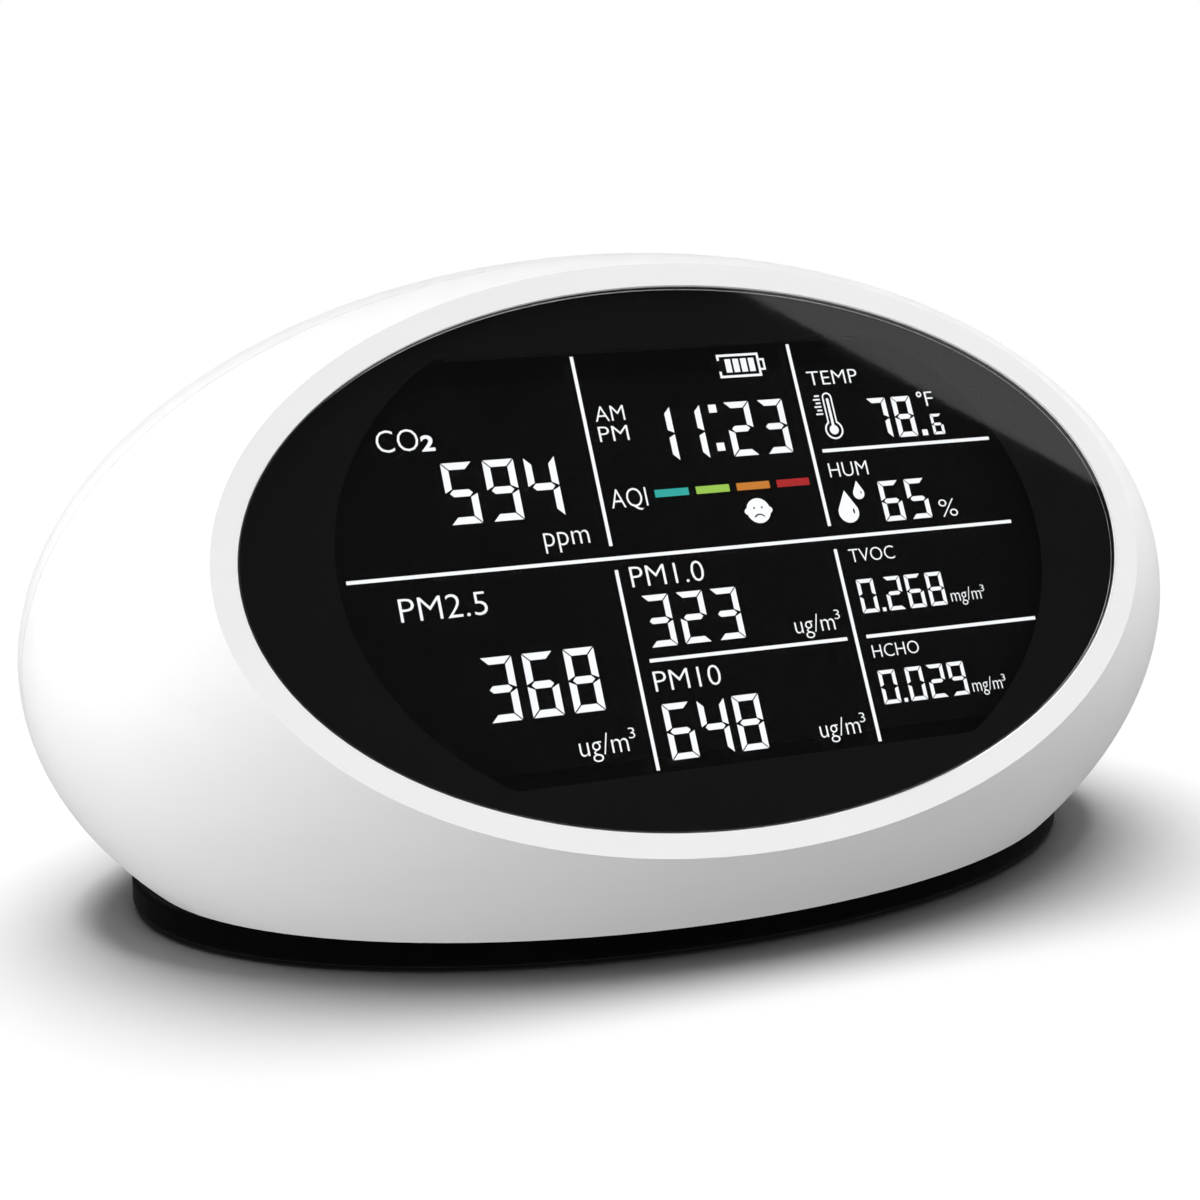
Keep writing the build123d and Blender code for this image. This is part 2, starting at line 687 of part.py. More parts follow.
socket_mid = seam.offset(socket_recess_y - 7.5)

with BuildPart() as power_socket:
    with BuildSketch(socket_mid):
        with Locations((0, -socket_drop)):
            SlotOverall(9.0, 3.2)
    extrude(amount=7.3)
    with BuildSketch(socket_mid.offset(0.8)):
        with Locations((0, -socket_drop)):
            SlotOverall(8.4, 2.6)
    extrude(amount=7.3, mode=Mode.SUBTRACT)

with BuildPart() as power_socket_tongue:
    block_on(socket_mid.offset(0.8), [(0, -socket_drop)], 6.7, 0.7, 5.6)

with BuildPart() as battery_tape:
    block_on(ground.offset(plate_top), [(0, -14)], 56, 28, 0.8)

with BuildPart() as battery_cell:
    block_on(ground.offset(plate_top + 0.8), [(0, -14)], 62, 34, 9, corner=3)
    fillet(battery_cell.faces().filter_by(Axis.Z).edges(), 1.5)

with BuildPart() as battery_leads:
    entry = face_point(board_back + 4, socket_down)
    turn_y = 6.5
    turn_z = entry[1] - (turn_y - entry[0]) * sin(radians(face_tilt)) / cos(radians(face_tilt))
    for x in (lead_places[1] - 1.3, lead_places[1] + 1.3):
        with BuildLine(Plane.YZ.offset(x)) as lead_path:
            FilletPolyline((3, 8), (turn_y, 8), (turn_y, turn_z), entry, radius=1.6)
        with BuildSketch(Plane(origin=(x, 3, 8), x_dir=(1, 0, 0), z_dir=(0, 1, 0))):
            Circle(0.7)
        sweep(path=lead_path.line)

# ---------------------------------------------------------------- ribbon cables

ribbon_up = centre_height + 32
ribbon_turn = (face_point(board_back + 2, 26)[0], ribbon_up)
ribbon_entry = face_point(board_back + 2, socket_up + 2.5)

with BuildPart() as pm_ribbon:
    ribbon(
        ribbon_places[0], 8,
        [(24, centre_height + pm_z + pm_height / 2), (24, ribbon_up), ribbon_turn, ribbon_entry], 4,
    )

with BuildPart() as gas_ribbon:
    ribbon(
        ribbon_places[2], 8,
        [(gas_rear.origin.Y + 1.7, centre_height + 19.7), (gas_rear.origin.Y + 1.7, ribbon_up),
         ribbon_turn, ribbon_entry], 4,
    )

with BuildPart() as button_ribbon:
    start = under_button_board.offset(1.5).from_local_coords((0, 5.2, 0))
    bend_y = start.Y - (ribbon_up - start.Z) * sin(radians(button_tilt)) / cos(radians(button_tilt))
    ribbon(
        ribbon_places[1], 6, [(start.Y, start.Z), (bend_y, ribbon_up), ribbon_turn, ribbon_entry], 3
    )

with BuildPart() as charging_ribbon:
    charge_z = charger_height + 1.2 + 0.4
    charge_turn = entry[0] + (entry[1] - charge_z) * cos(radians(face_tilt)) / sin(radians(face_tilt))
    ribbon(lead_places[0], 5, [(31, charge_z), (charge_turn, charge_z), entry], 3)

# ---------------------------------------------------------------- export

pieces = {
    "front_shell": front_shell,
    "rear_shell": rear_shell,
    "vent_mesh": vent_mesh,
    "shell_screws": shell_screws,
    "base_plate": base_plate,
    "foot_pad": foot_pad,
    "base_screws": base_screws,
    "display_lens": display_lens,
    "lens_tape": lens_tape,
    "lcd_panel": lcd_panel,
    "lcd_backlight": lcd_backlight,
    "lcd_frame": lcd_frame,
    "lcd_contact_strips": lcd_contact_strips,
    "lcd_frame_screws": lcd_frame_screws,
    "main_board": main_board,
    "main_board_screws": main_board_screws,
    "board_chips": board_chips,
    "buzzer": buzzer,
    "board_sockets": board_sockets,
    "sensor_chassis": sensor_chassis,
    "chassis_screws": chassis_screws,
    "pm_sensor_case": pm_sensor_case,
    "pm_sensor_cover": pm_sensor_cover,
    "pm_fan_axle": pm_fan_axle,
    "pm_fan_rotor": pm_fan_rotor,
    "pm_laser": pm_laser,
    "pm_duct": pm_duct,
    "gas_board": gas_board,
    "gas_board_screws": gas_board_screws,
    "co2_sensor": co2_sensor,
    "co2_filter": co2_filter,
    "formaldehyde_cell": formaldehyde_cell,
    "voc_sensor": voc_sensor,
    "gas_socket": gas_socket,
    "climate_board": climate_board,
    "climate_sensor": climate_sensor,
    "power_button": power_button,
    "set_button": set_button,
    "up_button": up_button,
    "down_button": down_button,
    "power_plunger": power_plunger,
    "set_plunger": set_plunger,
    "up_plunger": up_plunger,
    "down_plunger": down_plunger,
    "button_switches": button_switches,
    "button_board": button_board,
    "button_board_screws": button_board_screws,
    "button_socket": button_socket,
    "charging_board": charging_board,
    "charging_board_screws": charging_board_screws,
    "power_socket": power_socket,
    "power_socket_tongue": power_socket_tongue,
    "battery_tape": battery_tape,
    "battery_cell": battery_cell,
    "battery_leads": battery_leads,
    "pm_ribbon": pm_ribbon,
    "gas_ribbon": gas_ribbon,
    "button_ribbon": button_ribbon,
    "charging_ribbon": charging_ribbon,
}

os.makedirs("parts", exist_ok=True)
for name, piece in pieces.items():
    piece.part.label = name
    export_step(piece.part, f"parts/{name}.step")
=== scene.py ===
"""Desktop air quality monitor: looks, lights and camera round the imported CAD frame.

Display measures are in millimetres on the display plane: across to the right,
up along the tilted face, and high towards the viewer.
"""

from math import atan2, cos, pi, radians, sin, sqrt

import bmesh
import bpy
from mathutils import Matrix, Vector


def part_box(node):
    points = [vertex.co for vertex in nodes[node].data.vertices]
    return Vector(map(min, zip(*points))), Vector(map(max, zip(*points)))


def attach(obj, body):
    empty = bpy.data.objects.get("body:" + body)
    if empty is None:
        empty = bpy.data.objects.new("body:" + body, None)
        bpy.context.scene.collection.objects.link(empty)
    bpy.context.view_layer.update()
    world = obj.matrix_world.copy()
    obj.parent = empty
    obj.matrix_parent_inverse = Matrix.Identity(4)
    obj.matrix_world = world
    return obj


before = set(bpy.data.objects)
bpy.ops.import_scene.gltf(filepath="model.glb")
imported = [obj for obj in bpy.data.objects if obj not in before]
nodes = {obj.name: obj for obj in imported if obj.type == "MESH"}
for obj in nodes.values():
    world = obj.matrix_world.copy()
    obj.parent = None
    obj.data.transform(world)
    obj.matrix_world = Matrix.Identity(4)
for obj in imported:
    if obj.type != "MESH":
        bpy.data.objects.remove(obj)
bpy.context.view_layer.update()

MM = 0.001

# ---------------------------------------------------------------- places from the frame

BODY_RADIUS = 55.25 * MM
FACE_TILT = radians(30)
RIGHT = Vector((1, 0, 0))
FACE_UP = Vector((0, sin(FACE_TILT), cos(FACE_TILT)))
FACE_OUT = Vector((0, -cos(FACE_TILT), sin(FACE_TILT)))


def plane_matrix(origin, across, up):
    """Turns (across, up, high) in millimetres into metres in the frame."""
    out = across.cross(up)
    turn = Matrix((across, up, out)).transposed().to_4x4()
    return Matrix.Translation(origin) @ turn @ Matrix.Scale(MM, 4)


shell_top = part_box("rear_shell")[1].z
body_centre = Vector((0, 0, shell_top - BODY_RADIUS))


def front_of(node):
    """Where the display's axis meets a node's foremost face."""
    reach = max((v.co - body_centre).dot(FACE_OUT) for v in nodes[node].data.vertices)
    return body_centre + FACE_OUT * reach


lens_plane = plane_matrix(front_of("display_lens"), RIGHT, FACE_UP)
lcd_plane = plane_matrix(front_of("lcd_panel"), RIGHT, FACE_UP)

# ---------------------------------------------------------------- camera

scene = bpy.context.scene
scene.view_settings.view_transform = "Standard"
scene.view_settings.look = "None"

CAMERA_AZIMUTH = radians(23.39)
CAMERA_ELEVATION = radians(13.43)
CAMERA_DISTANCE = 0.36587
AIM_RIGHT = -0.00326        # the aim's offset from the housing's centre, in metres
AIM_UP = 0.00322
SENSOR_WIDTH = 36
FOCAL_LENGTH = 72.35

look = Vector((
    sin(CAMERA_AZIMUTH) * cos(CAMERA_ELEVATION),
    cos(CAMERA_AZIMUTH) * cos(CAMERA_ELEVATION),
    -sin(CAMERA_ELEVATION),
))
view_right = Vector((cos(CAMERA_AZIMUTH), -sin(CAMERA_AZIMUTH), 0))
view_up = view_right.cross(look)
camera_place = body_centre + AIM_RIGHT * view_right + AIM_UP * view_up - CAMERA_DISTANCE * look

camera_data = bpy.data.cameras.new("camera")
camera_data.sensor_width = SENSOR_WIDTH
camera_data.lens = FOCAL_LENGTH
camera_data.clip_start = 0.01
camera_data.clip_end = 50
camera = bpy.data.objects.new("camera", camera_data)
camera.location = camera_place
camera.rotation_mode = "QUATERNION"
camera.rotation_quaternion = look.to_track_quat("-Z", "Y")
scene.collection.objects.link(camera)
scene.camera = camera

# ---------------------------------------------------------------- material tools

WAVES_PER_UNIT = 0.314      # Blender's wave texture repeats this often at scale 1


class Shader:
    """A node material with one Principled shader, built up by short calls."""

    def __init__(self, name, color, roughness, metallic=0.0):
        self.material = bpy.data.materials.new(name)
        self.material.use_nodes = True
        self.tree = self.material.node_tree
        self.bsdf = self.tree.nodes["Principled BSDF"]
        self.set("Base Color", (*color, 1))
        self.set("Roughness", roughness)
        self.set("Metallic", metallic)
        self.coords = self.node("ShaderNodeTexCoord").outputs["Object"]
        self.height = None

    def node(self, kind, **settings):
        made = self.tree.nodes.new(kind)
        for key, value in settings.items():
            setattr(made, key, value)
        return made

    def link(self, source, target):
        self.tree.links.new(source, target)

    def set(self, socket, value):
        self.bsdf.inputs[socket].default_value = value

    def noise(self, size_mm, detail=3.0, stretch=(1, 1, 1)):
        """Noise whose features measure about size_mm."""
        mapping = self.node("ShaderNodeMapping")
        mapping.inputs["Scale"].default_value = stretch
        self.link(self.coords, mapping.inputs["Vector"])
        made = self.node("ShaderNodeTexNoise")
        made.inputs["Scale"].default_value = 1 / (size_mm * MM)
        made.inputs["Detail"].default_value = detail
        self.link(mapping.outputs[0], made.inputs["Vector"])
        return made.outputs["Fac"]

    def cells(self, size_mm, feature="F1"):
        made = self.node("ShaderNodeTexVoronoi", feature=feature)
        made.inputs["Scale"].default_value = 1 / (size_mm * MM)
        self.link(self.coords, made.inputs["Vector"])
        return made.outputs["Distance"]

    def stripes(self, pitch_mm, direction, wave="SIN"):
        made = self.node(
            "ShaderNodeTexWave", wave_type="BANDS", bands_direction=direction, wave_profile=wave
        )
        made.inputs["Scale"].default_value = WAVES_PER_UNIT / (pitch_mm * MM)
        self.link(self.coords, made.inputs["Vector"])
        return made.outputs["Fac"]

    def math(self, operation, first, second):
        made = self.node("ShaderNodeMath", operation=operation)
        for place, value in enumerate((first, second)):
            if isinstance(value, (int, float)):
                made.inputs[place].default_value = value
            else:
                self.link(value, made.inputs[place])
        return made.outputs[0]

    def remap(self, value, low, high, from_low=0.3, from_high=0.7):
        made = self.node("ShaderNodeMapRange")
        made.inputs["From Min"].default_value = from_low
        made.inputs["From Max"].default_value = from_high
        made.inputs["To Min"].default_value = low
        made.inputs["To Max"].default_value = high
        self.link(value, made.inputs["Value"])
        return made.outputs["Result"]

    def blend(self, value, first, second, low=0.3, high=0.7, socket="Base Color"):
        """Colour that runs from first to second as a value runs from low to high."""
        ramp = self.node("ShaderNodeValToRGB")
        ramp.color_ramp.elements[0].position = low
        ramp.color_ramp.elements[1].position = high
        ramp.color_ramp.elements[0].color = (*first, 1)
        ramp.color_ramp.elements[1].color = (*second, 1)
        self.link(value, ramp.inputs["Fac"])
        self.link(ramp.outputs["Color"], self.bsdf.inputs[socket])
        return self

    def rough(self, value, low, high):
        self.link(self.remap(value, low, high), self.bsdf.inputs["Roughness"])
        return self

    def bump(self, value, depth_mm, strength=1.0):
        """Adds a relief of about depth_mm on top of those already there."""
        made = self.node("ShaderNodeBump")
        made.inputs["Strength"].default_value = strength
        made.inputs["Distance"].default_value = depth_mm * MM
        self.link(value, made.inputs["Height"])
        if self.height is not None:
            self.link(self.height, made.inputs["Normal"])
        self.height = made.outputs["Normal"]
        self.link(self.height, self.bsdf.inputs["Normal"])
        return self


def moulded(name, color, roughness, grain_mm=0.35, relief_mm=0.004, tint=0.04):
    """Injection-moulded plastic: spark-eroded grain, faint flow marks, uneven gloss."""
    made = Shader(name, color, roughness)
    dark = tuple(c * (1 - tint) for c in color)
    light = tuple(min(1, c * (1 + tint)) for c in color)
    made.blend(made.noise(14, 2, (1, 1, 2.5)), dark, light)
    made.rough(made.noise(3, 3), roughness - 0.05, roughness + 0.06)
    made.bump(made.noise(grain_mm, 4), relief_mm)
    return made


def metal(name, color, roughness, grain_mm=0.2, stretch=(1, 1, 1), relief_mm=0.003, tint=0.12):
    """Turned, plated or stamped metal with fine tool marks and dull patches."""
    made = Shader(name, color, roughness, 1.0)
    made.blend(made.noise(2.5, 4), tuple(c * (1 - tint) for c in color), color)
    made.rough(made.noise(1.2, 3), roughness - 0.06, roughness + 0.1)
    made.bump(made.noise(grain_mm, 3, stretch), relief_mm)
    return made


def glow(name, color, strength, flicker=0.04):
    """A lit LCD area: light through the polariser, with the backlight's slight unevenness."""
    made = Shader(name, (0.02, 0.02, 0.02), 0.4)
    dimmer = tuple(c * (1 - flicker) for c in color)
    made.blend(made.noise(6, 2), dimmer, color, socket="Emission Color")
    made.set("Emission Strength", strength)
    made.set("Specular IOR Level", 0.0)
    return made


# ---------------------------------------------------------------- materials


def shell_white():
    white = (0.93, 0.93, 0.93)
    made = moulded("shell_white", white, 0.36, grain_mm=0.5, relief_mm=0.0025, tint=0.008)
    made.set("Specular IOR Level", 0.42)
    return made


def button_white():
    return moulded("button_white", (0.88, 0.88, 0.885), 0.42, grain_mm=0.3, tint=0.015)


def base_black():
    black = (0.0008, 0.0008, 0.0009)
    made = moulded("base_black", black, 0.6, grain_mm=0.25, relief_mm=0.012, tint=0.2)
    made.set("Specular IOR Level", 0.05)
    return made


def pad_rubber():
    made = Shader("pad_rubber", (0.018, 0.018, 0.019), 0.8)
    made.blend(made.noise(9, 4), (0.014, 0.014, 0.014), (0.030, 0.029, 0.028))
    ribs = made.math("MULTIPLY", made.stripes(1.6, "X"), made.stripes(1.6, "Y"))
    made.rough(made.noise(2, 3), 0.7, 0.92)
    made.bump(ribs, 0.12)
    made.bump(made.noise(0.2, 3), 0.01)
    return made


def lens_acrylic():
    made = Shader("lens_acrylic", (0.72, 0.72, 0.73), 0.0)
    made.set("Transmission Weight", 1.0)
    made.set("IOR", 1.49)
    made.blend(made.noise(9, 5), (0.71, 0.71, 0.72), (0.73, 0.73, 0.74))
    made.rough(made.noise(9, 5), 0.02, 0.035)
    made.bump(made.noise(22, 2), 0.004)
    return made


def mask_ink():
    made = Shader("mask_ink", (0.0036, 0.0036, 0.0038), 0.5)
    made.blend(made.noise(5, 3), (0.0033, 0.0033, 0.0035), (0.0039, 0.0039, 0.0041))
    made.rough(made.noise(1, 3), 0.4, 0.6)
    made.bump(made.noise(0.6, 2), 0.002)
    made.set("Specular IOR Level", 0.03)
    return made


def lcd_black():
    made = Shader("lcd_black", (0.0010, 0.0010, 0.0011), 0.35)
    made.blend(made.noise(12, 3), (0.0008, 0.0008, 0.0009), (0.0012, 0.0012, 0.0013))
    made.rough(made.noise(3, 3), 0.3, 0.42)
    made.bump(made.noise(0.1, 2), 0.001)
    made.set("Specular IOR Level", 0.05)
    return made


def board_green():
    made = Shader("board_green", (0.012, 0.11, 0.05), 0.32)
    tracks = made.math("MULTIPLY", made.stripes(1.3, "X", "SAW"), made.cells(4, "DISTANCE_TO_EDGE"))
    made.blend(tracks, (0.008, 0.085, 0.038), (0.03, 0.19, 0.085), 0.02, 0.12)
    made.rough(made.noise(0.8, 3), 0.25, 0.42)
    made.bump(tracks, 0.035)
    return made


def chip_epoxy():
    dark_grey = (0.022, 0.022, 0.024)
    return moulded("chip_epoxy", dark_grey, 0.5, grain_mm=0.12, relief_mm=0.008, tint=0.25)


def vent_wire():
    made = Shader("vent_wire", (0.05, 0.05, 0.055), 0.45, 0.8)
    # Painted shade: the colour goes nearly black in the sunken gaps between the wires, and the same
    # weave gives the wires their bump.
    weave_and_gap_shade = made.math("MULTIPLY", made.stripes(0.55, "X"), made.stripes(0.55, "Z"))
    made.blend(weave_and_gap_shade, (0.008, 0.008, 0.009), (0.11, 0.11, 0.12), 0.15, 0.6)
    made.rough(made.noise(0.5, 2), 0.38, 0.6)
    made.bump(weave_and_gap_shade, 0.12)
    return made


def foam():
    made = Shader("foam", (0.02, 0.02, 0.021), 0.95)
    # Painted shade: each pore is coloured darker towards its sunken pit, and the same cells give the
    # pits their bump.
    pores_and_pore_shade = made.cells(0.7)
    made.blend(pores_and_pore_shade, (0.006, 0.006, 0.006), (0.045, 0.045, 0.046), 0.1, 0.6)
    made.rough(made.noise(1, 2), 0.88, 1.0)
    made.bump(pores_and_pore_shade, 0.25)
    return made


def zebra():
    made = Shader("zebra", (0.2, 0.2, 0.2), 0.6)
    bands = made.stripes(0.3, "X")
    made.blend(bands, (0.03, 0.03, 0.03), (0.62, 0.60, 0.56), 0.45, 0.55)
    made.rough(made.noise(0.5, 2), 0.5, 0.7)
    made.bump(bands, 0.01)
    return made


def light_guide():
    made = Shader("light_guide", (0.86, 0.88, 0.90), 0.2)
    made.blend(made.cells(0.9), (0.96, 0.97, 0.98), (0.80, 0.83, 0.86), 0.15, 0.45)
    made.rough(made.noise(2, 2), 0.15, 0.3)
    made.bump(made.cells(0.9), 0.02)
    return made


def ribbon_film():
    made = Shader("ribbon_film", (0.72, 0.72, 0.70), 0.35)
    wires = made.stripes(1.0, "X")
    made.blend(wires, (0.80, 0.80, 0.78), (0.50, 0.48, 0.42), 0.55, 0.75)
    made.rough(made.noise(1.5, 2), 0.28, 0.45)
    made.bump(wires, 0.05)
    return made


def foil():
    made = Shader("foil", (0.62, 0.64, 0.66), 0.38, 0.9)
    made.blend(made.noise(6, 4), (0.52, 0.54, 0.56), (0.70, 0.72, 0.74))
    made.rough(made.noise(1.4, 4), 0.3, 0.5)
    made.bump(made.noise(5, 4), 0.18)
    return made


def membrane():
    made = Shader("membrane", (0.87, 0.87, 0.85), 0.85)
    made.blend(made.noise(0.4, 3), (0.78, 0.78, 0.76), (0.90, 0.90, 0.88))
    made.rough(made.noise(0.6, 3), 0.78, 0.95)
    made.bump(made.noise(0.25, 4), 0.05)
    return made


LOOKS = {
    shell_white: ["front_shell", "rear_shell"],
    button_white: ["power_button", "set_button", "up_button", "down_button"],
    base_black: ["base_plate"],
    pad_rubber: ["foot_pad"],
    lens_acrylic: ["display_lens"],
    lcd_black: ["lcd_panel"],
    board_green: ["main_board", "gas_board", "climate_board", "button_board", "charging_board"],
    chip_epoxy: ["board_chips", "buzzer", "power_socket_tongue"],
    vent_wire: ["vent_mesh"],
    foam: ["pm_duct", "lens_tape", "battery_tape"],
    zebra: ["lcd_contact_strips"],
    light_guide: ["lcd_backlight"],
    ribbon_film: ["pm_ribbon", "gas_ribbon", "button_ribbon", "charging_ribbon"],
    foil: ["battery_cell"],
    membrane: ["co2_filter"],
}
SIMPLE_LOOKS = [
    (moulded("inner_plastic", (0.005, 0.005, 0.0055), 0.6, 0.3, 0.01, 0.1), ["lcd_frame"]),
    (moulded("chassis_grey", (0.26, 0.27, 0.28), 0.5, 0.4, 0.01, 0.06), ["sensor_chassis"]),
    (moulded("sensor_blue", (0.03, 0.06, 0.15), 0.42, 0.3, 0.01, 0.1),
     ["pm_sensor_case", "pm_sensor_cover"]),
    (moulded("rotor_black", (0.02, 0.02, 0.022), 0.4, 0.25, 0.006, 0.15), ["pm_fan_rotor"]),
    (moulded("socket_nylon", (0.72, 0.68, 0.58), 0.5, 0.3, 0.01, 0.05),
     ["board_sockets", "gas_socket", "button_socket"]),
    (moulded("cell_white", (0.80, 0.80, 0.78), 0.45, 0.3, 0.01, 0.04), ["formaldehyde_cell"]),
    (moulded("sensor_white", (0.82, 0.82, 0.82), 0.4, 0.1, 0.004, 0.03), ["climate_sensor"]),
    (moulded("switch_black", (0.025, 0.025, 0.027), 0.45, 0.2, 0.006, 0.15), ["button_switches"]),
    (moulded("plunger_brown", (0.16, 0.07, 0.035), 0.45, 0.2, 0.006, 0.1),
     ["power_plunger", "set_plunger", "up_plunger", "down_plunger"]),
    (moulded("lead_red", (0.45, 0.015, 0.012), 0.4, 0.3, 0.01, 0.12), ["battery_leads"]),
    (metal("screw_zinc", (0.63, 0.63, 0.65), 0.32, 0.15),
     ["shell_screws", "base_screws", "lcd_frame_screws", "main_board_screws", "chassis_screws",
      "gas_board_screws", "button_board_screws", "charging_board_screws", "pm_fan_axle"]),
    (metal("laser_brass", (0.72, 0.52, 0.22), 0.3, 0.12, (6, 1, 1)), ["pm_laser"]),
    (metal("sensor_gold", (0.86, 0.62, 0.26), 0.26, 0.5), ["co2_sensor"]),
    (metal("can_nickel", (0.70, 0.69, 0.66), 0.22, 0.3), ["voc_sensor"]),
    (metal("socket_steel", (0.72, 0.72, 0.74), 0.2, 0.2), ["power_socket"]),
]


def dress(material, names):
    """Gives CAD nodes their material."""
    for name in names:
        mesh = nodes[name].data
        mesh.materials.clear()
        mesh.materials.append(material)


for make, names in LOOKS.items():
    dress(make().material, names)
for made, names in SIMPLE_LOOKS:
    dress(made.material, names)

# Lamps reach the ink and the LCD behind the clear lens.
nodes["display_lens"].visible_shadow = False

lit_white = glow("lit_white", (0.93, 0.95, 0.96), 1.55).material

# ---------------------------------------------------------------- flat shapes on the display

SHEET_THICKNESS = 0.04


class Sheet:
    """Thin closed plates on a plane, gathered into one piece."""

    def __init__(self, matrix):
        self.matrix = matrix
        self.mesh = bmesh.new()

    def plate(self, points, low=0.0, high=SHEET_THICKNESS, holes=()):
        """A closed prism over an outline, with outlines cut out of it."""
        rings = [list(points)] + [list(hole) for hole in holes]
        edges = []
        for ring in rings:
            made = [self.mesh.verts.new((x, y, low)) for x, y in ring]
            edges += [self.mesh.edges.new((made[i - 1], made[i])) for i in range(len(made))]
        filled = bmesh.ops.triangle_fill(self.mesh, edges=edges, use_beauty=True)
        faces = [g for g in filled["geom"] if isinstance(g, bmesh.types.BMFace)]
        grown = bmesh.ops.extrude_face_region(self.mesh, geom=faces, use_keep_orig=True)
        lifted = [g for g in grown["geom"] if isinstance(g, bmesh.types.BMVert)]
        bmesh.ops.translate(self.mesh, verts=lifted, vec=(0, 0, high - low))

    def bar(self, x0, y0, x1, y1, low=0.0, high=SHEET_THICKNESS):
        self.plate([(x0, y0), (x1, y0), (x1, y1), (x0, y1)], low, high)

    def text(self, words, x0, x1, base, height, weight=0.0):
        """Words in the built-in face, fitted between x0 and x1, with capitals of a height."""
        half = SHEET_THICKNESS / 2
        made = letters(words, half / height, weight)
        left = min(v.co.x for v in made.vertices)
        wide = (x1 - x0) / (max(v.co.x for v in made.vertices) - left)
        tall = height / CAPITAL_HEIGHT
        for v in made.vertices:
            v.co = Vector((
                (v.co.x - left) * wide + x0, v.co.y * tall + base, v.co.z * height + half
            ))
        self.mesh.from_mesh(made)
        bpy.data.meshes.remove(made)

    def piece(self, name, material, body, slot):
        bmesh.ops.remove_doubles(self.mesh, verts=self.mesh.verts, dist=1e-4)
        bmesh.ops.recalc_face_normals(self.mesh, faces=self.mesh.faces)
        self.mesh.transform(self.matrix)
        data = bpy.data.meshes.new(name)
        self.mesh.to_mesh(data)
        self.mesh.free()
        data.materials.append(material)
        made = bpy.data.objects.new(name, data)
        scene.collection.objects.link(made)
        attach(made, body)
        return made


def letters(words, half_thickness=0.0, weight=0.0):
    """A mesh of words in the built-in face at size 1, made bolder or finer by a weight."""
    curve = bpy.data.curves.new("words", "FONT")
    curve.body = words
    curve.extrude = half_thickness
    curve.offset = weight
    curve.resolution_u = 3
    holder = bpy.data.objects.new("words", curve)
    made = bpy.data.meshes.new_from_object(holder)
    bpy.data.objects.remove(holder)
    bpy.data.curves.remove(curve)
    return made


capital = letters("H")
CAPITAL_HEIGHT = max(v.co.y for v in capital.vertices)
bpy.data.meshes.remove(capital)


def oval(across, up, clip=None, steps=180, shift=(0, 0)):
    """Points of an ellipse, flattened where it passes clip above or below the middle."""
    points = []
    for step in range(steps):
        turn = 2 * pi * step / steps
        y = up * sin(turn)
        if clip is not None:
            y = max(-clip, min(clip, y))
        points.append((across * cos(turn) + shift[0], y + shift[1]))
    return points


# ---------------------------------------------------------------- ink behind the lens

LENS_THICKNESS = 2.0
LENS_EDGE = (66.6, 39.6)
WINDOW = (53.8, 40.2)
WINDOW_CLIP = 30.6
WINDOW_SHIFT = (0.5, 0.3)
INK_SINK = 0.02             # the ink lies this far inside the lens's rear face

mask = Sheet(lens_plane)
mask_low = -LENS_THICKNESS + INK_SINK
mask.plate(
    oval(*LENS_EDGE), mask_low, mask_low + SHEET_THICKNESS,
    holes=[oval(*WINDOW, WINDOW_CLIP, shift=WINDOW_SHIFT)],
)
black_ink = mask_ink().material
mask.piece("lens_mask_ink", black_ink, "housing", "lens_smoke")

# A black lining on the wall of the opening keeps stray light off the LCD.
# It has a lip at the top that covers the corner between the wall and the ledge.
LEDGE = (63.8, 36.8)
LINING_FOOT = -4.38
LIP_LOW = -2.29
LIP_TOP = -2.1


def ledge_oval(wider):
    """The opening's oval, made wider all round."""
    return oval(LEDGE[0] + wider, LEDGE[1] + wider)


lining = Sheet(lens_plane)
lining.plate(ledge_oval(-0.02), LINING_FOOT, LIP_LOW, holes=[ledge_oval(-0.3)])
lining.plate(ledge_oval(0.18), LIP_LOW, LIP_TOP, holes=[ledge_oval(-0.3)])
lining.piece("lens_lining", black_ink, "housing", "tape_black")

# ---------------------------------------------------------------- lit segments

# The lit areas lie behind the lens: the layout is spread and moved a little, so that
# each one reads at its place on the lens from the camera.
APPARENT_DEPTH = 3.7
eye = lens_plane.inverted() @ camera_place
sink = APPARENT_DEPTH / eye.z
FIT_SHIFT = (-0.2, 0.15)
FIT_SPREAD = 0.9955
layout = (
    lcd_plane
    @ Matrix.Translation((-eye.x * sink, -eye.y * sink, 0.02))
    @ Matrix.Diagonal((1 + sink, 1 + sink, 1, 1))
    @ Matrix.Translation((*FIT_SHIFT, 0))
    @ Matrix.Diagonal((FIT_SPREAD, 1, 1, 1))
)

SEGMENTS = {
    "0": "abcdef", "1": "bc", "2": "abged", "3": "abgcd", "4": "fgbc", "5": "afgcd",
    "6": "afgedc", "7": "abc", "8": "abcdefg", "9": "abfgcd",
}


def digit(sheet, figure, x, base, width, height, thick):
    """One seven-segment figure with mitred bars and hairline gaps between them."""
    gap = 0.1 * thick + 0.03
    t = thick
    mid = height / 2
    half = t / 2
    bars = {
        "a": [(gap, height), (width - gap, height), (width - gap - t, height - t),
              (gap + t, height - t)],
        "d": [(gap, 0), (gap + t, t), (width - gap - t, t), (width - gap, 0)],
        "f": [(0, height - gap), (t, height - gap - t), (t, mid + gap + half), (0, mid + gap)],
        "b": [(width, height - gap), (width, mid + gap), (width - t, mid + gap + half),
              (width - t, height - gap - t)],
        "e": [(0, gap), (0, mid - gap), (t, mid - gap - half), (t, gap + t)],
        "c": [(width, gap), (width - t, gap + t), (width - t, mid - gap - half), (width, mid - gap)],
        "g": [(gap + half, mid), (gap + t, mid + half), (width - gap - t, mid + half),
              (width - gap - half, mid), (width - gap - t, mid - half), (gap + t, mid - half)],
    }
    for name in SEGMENTS[figure]:
        sheet.plate([(x + px, base + py) for px, py in bars[name]])


